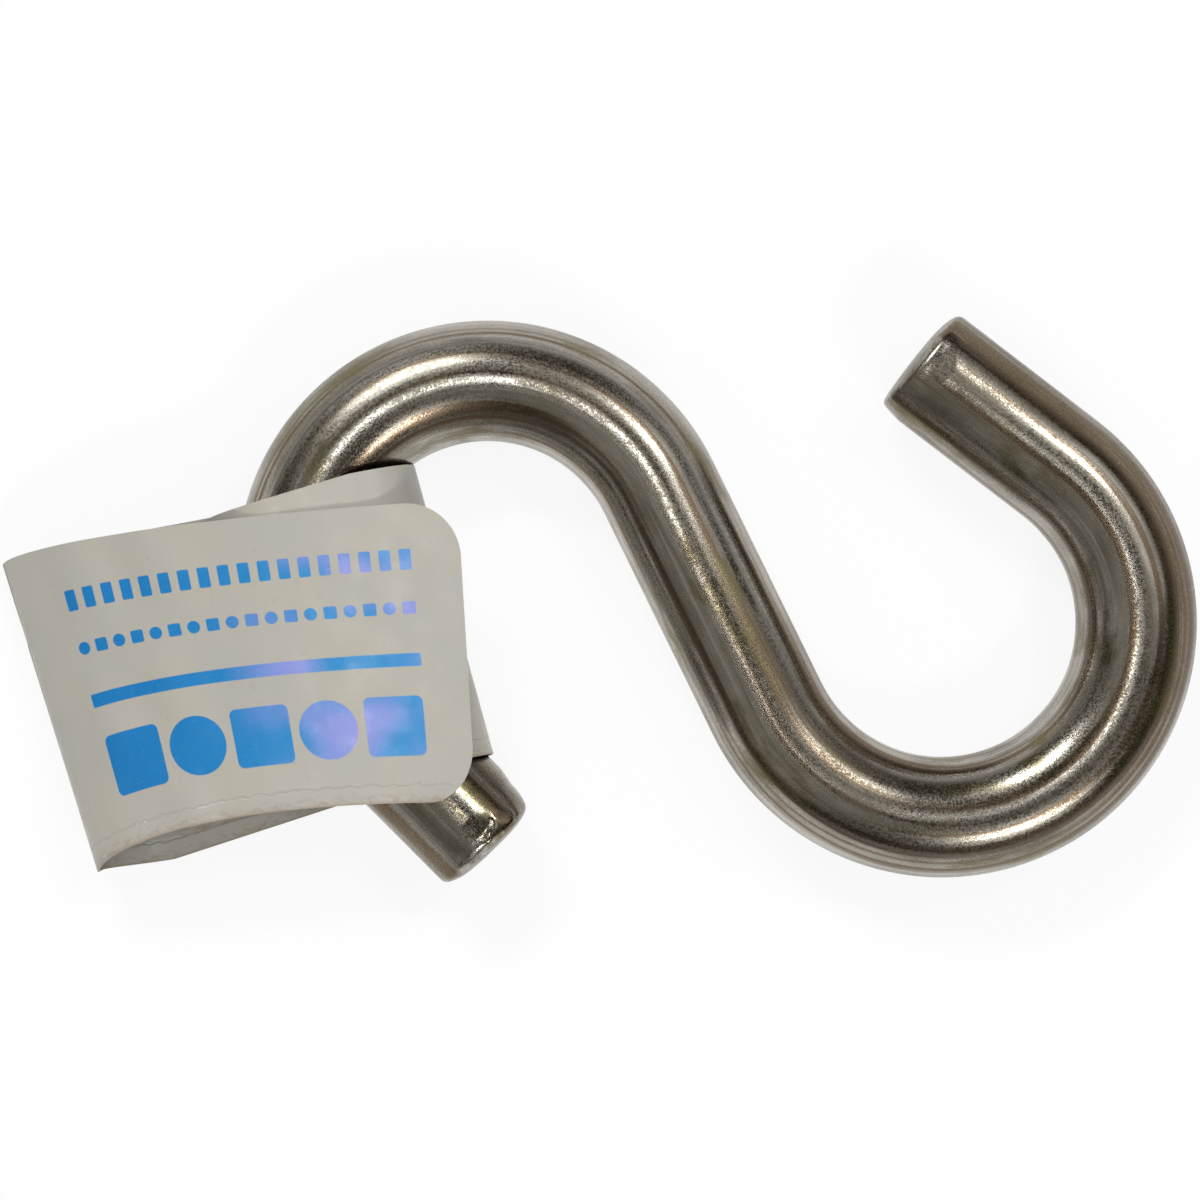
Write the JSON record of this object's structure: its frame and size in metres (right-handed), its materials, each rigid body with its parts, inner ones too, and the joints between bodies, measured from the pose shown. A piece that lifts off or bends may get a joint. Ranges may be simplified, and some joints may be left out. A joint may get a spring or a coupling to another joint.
{
  "type": "s hook",
  "caption": "Open S hook bent from plated round steel wire, one end wrapped with a folded paper label printed in plain blue blocks.",
  "frame": {"origin": "middle of the bounding box in plan, at the plane that the hook lies on", "axes": "The hook lies flat, its wire in a plane parallel to XY. +X runs from the labelled bend to the plain bend, +Y from the labelled tip towards the plain tip, +Z away from the surface below, out through the printed side of the label."},
  "size_m": [0.0948, 0.0448, 0.0106],
  "materials": {
    "wire": "bright drawn plating, scuffed",
    "label": "coated paper with a soft gloss"
  },
  "bodies": {
    "root": {"hook_wire": "wire", "paper_label": "label"}
  },
  "joints": []
}
